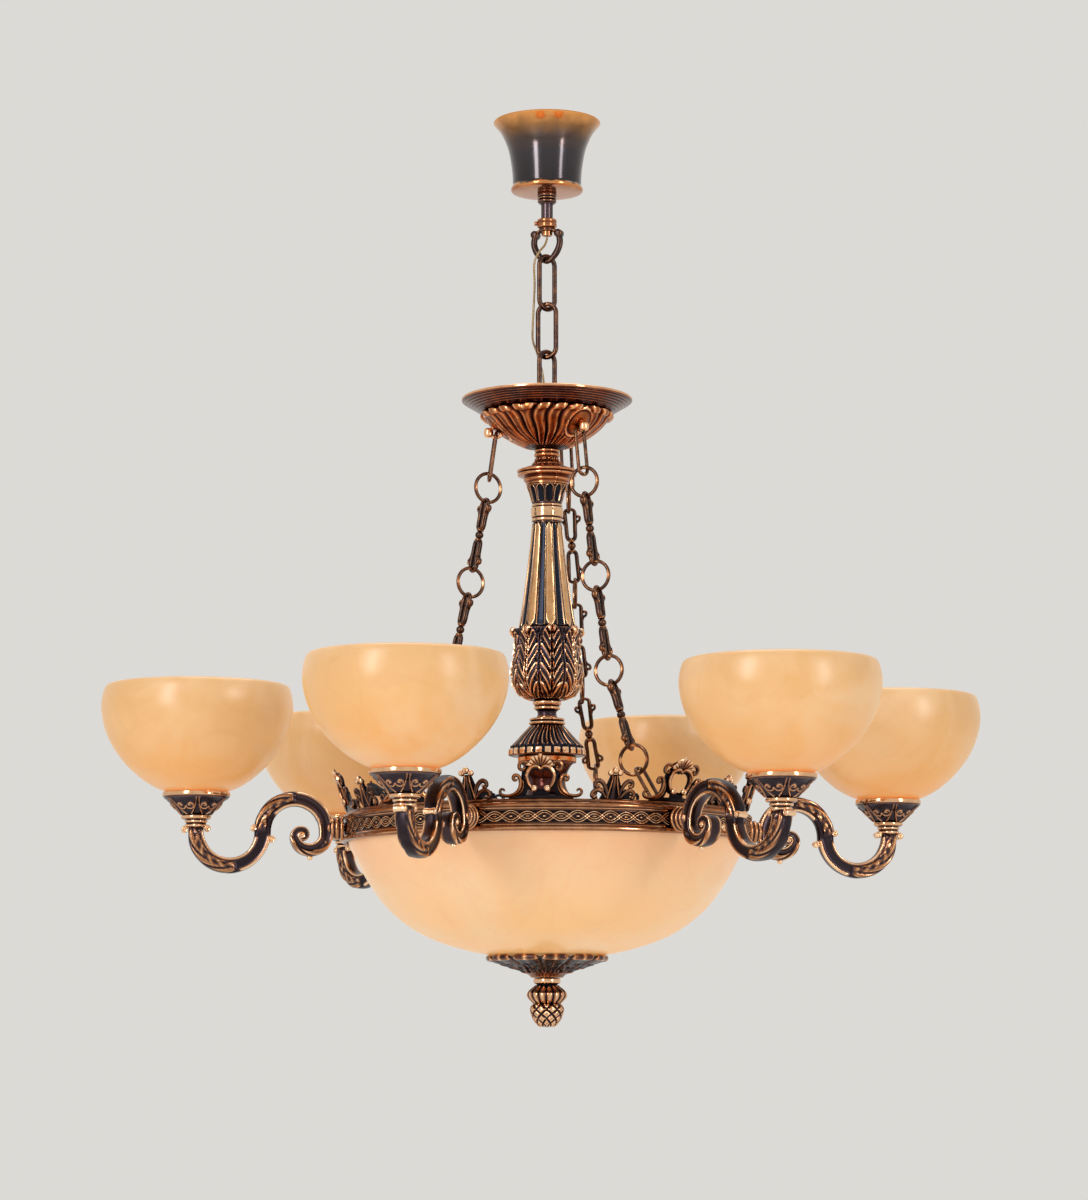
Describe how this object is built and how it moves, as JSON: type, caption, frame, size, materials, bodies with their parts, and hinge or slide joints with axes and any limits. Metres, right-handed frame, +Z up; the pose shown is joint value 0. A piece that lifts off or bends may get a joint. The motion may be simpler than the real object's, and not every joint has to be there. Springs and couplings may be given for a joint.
{
  "type": "chandelier",
  "caption": "Ceiling light on a short chain: a large alabaster bowl under a crested ring, smaller alabaster shades on scrolled arms round it, and a ribbed metal column above.",
  "frame": {"origin": "middle of the ceiling bracket's upper face, where the light is screwed to the ceiling", "axes": "+Z up, out of the bracket's ceiling face and along the column; +X along arm 1"},
  "size_m": [0.9718, 0.8718, 1.0125],
  "materials": {
    "bronze": "cast, dark patina rubbed bright on its edges",
    "copper": "spun or cast, copper coloured and polished",
    "gilt": "polished gold colour",
    "gunmetal": "polished dark patina",
    "steel": "plated, plain",
    "alabaster": "turned and polished, translucent, faint veins",
    "porcelain": "glazed",
    "bulb_glass": "opal",
    "flex": "clear sleeve over gold-coloured wire"
  },
  "bodies": {
    "ceiling": {"ceiling_bracket": "steel", "stem": "gunmetal", "hanging_loop": "bronze"},
    "canopy": {"canopy": "gunmetal", "canopy_nut": "bronze"},
    "link_1": {"chain_link_1": "bronze"},
    "link_2": {"chain_link_2": "bronze"},
    "link_3": {"chain_link_3": "bronze"},
    "light": {"supply_flex": "flex", "centre_rod": "steel", "top_dish": "copper", "dish_boss": "copper", "capital": "gilt", "column_neck": "bronze", "column_shaft": "bronze", "column_vase": "bronze", "gadroon_cover": "bronze", "hub_spool": "copper", "spider": "steel", "gallery_ring": "bronze", "gallery_crests": "bronze", "arm_1": "bronze", "arm_2": "bronze", "arm_3": "bronze", "arm_4": "bronze", "arm_5": "bronze", "arm_6": "bronze", "shade_cup_1": "bronze", "shade_cup_2": "bronze", "shade_cup_3": "bronze", "shade_cup_4": "bronze", "shade_cup_5": "bronze", "shade_cup_6": "bronze", "shade_1": "alabaster", "shade_2": "alabaster", "shade_3": "alabaster", "shade_4": "alabaster", "shade_5": "alabaster", "shade_6": "alabaster", "lampholder_1": "porcelain", "lampholder_2": "porcelain", "lampholder_3": "porcelain", "lampholder_4": "porcelain", "lampholder_5": "porcelain", "lampholder_6": "porcelain", "bulb_1": "bulb_glass", "bulb_2": "bulb_glass", "bulb_3": "bulb_glass", "bulb_4": "bulb_glass", "bulb_5": "bulb_glass", "bulb_6": "bulb_glass", "lamp_cluster": "porcelain", "bowl_bulb_1": "bulb_glass", "bowl_bulb_2": "bulb_glass", "bowl": "alabaster", "rosette": "bronze"},
    "side_chain_1": {"side_chain_1": "bronze"},
    "side_chain_2": {"side_chain_2": "bronze"},
    "side_chain_3": {"side_chain_3": "bronze"},
    "finial": {"finial": "bronze"}
  },
  "joints": [
    {"name": "canopy_slide", "type": "slide", "parent": "ceiling", "child": "canopy", "axis": [0, 0, -1], "range_m": [0, 0.017]},
    {"name": "link_1_rock", "type": "hinge", "parent": "ceiling", "child": "link_1", "pos_m": [0, 0, -0.1603], "axis": [0.866, -0.5, 0], "range_deg": [-15, 15], "deforming": ["supply_flex"]},
    {"name": "link_2_rock", "type": "hinge", "parent": "link_1", "child": "link_2", "pos_m": [0, 0, -0.2148], "axis": [0.866, 0.5, 0], "range_deg": [-15, 15], "deforming": ["supply_flex"]},
    {"name": "link_3_rock", "type": "hinge", "parent": "link_2", "child": "link_3", "pos_m": [0, 0, -0.2693], "axis": [0.866, -0.5, 0], "range_deg": [-15, 15], "deforming": ["supply_flex"]},
    {"name": "light_rock", "type": "hinge", "parent": "link_3", "child": "light", "pos_m": [0, 0, -0.3238], "axis": [0.866, 0.5, 0], "range_deg": [-10, 10], "deforming": ["supply_flex"]},
    {"name": "side_chain_1_sway", "type": "hinge", "parent": "light", "child": "side_chain_1", "pos_m": [0.029, 0.05023, -0.36165], "axis": [0.1468, 0.2543, -0.9559], "range_deg": [-8, 8]},
    {"name": "side_chain_2_sway", "type": "hinge", "parent": "light", "child": "side_chain_2", "pos_m": [-0.058, 0, -0.36165], "axis": [-0.2936, 0, -0.9559], "range_deg": [-8, 8]},
    {"name": "side_chain_3_sway", "type": "hinge", "parent": "light", "child": "side_chain_3", "pos_m": [0.029, -0.05023, -0.36165], "axis": [0.1468, -0.2543, -0.9559], "range_deg": [-8, 8]},
    {"name": "finial_turn", "type": "hinge", "parent": "light", "child": "finial", "pos_m": [0, 0, -0.98], "axis": [0, 0, 1], "continuous": true}
  ]
}
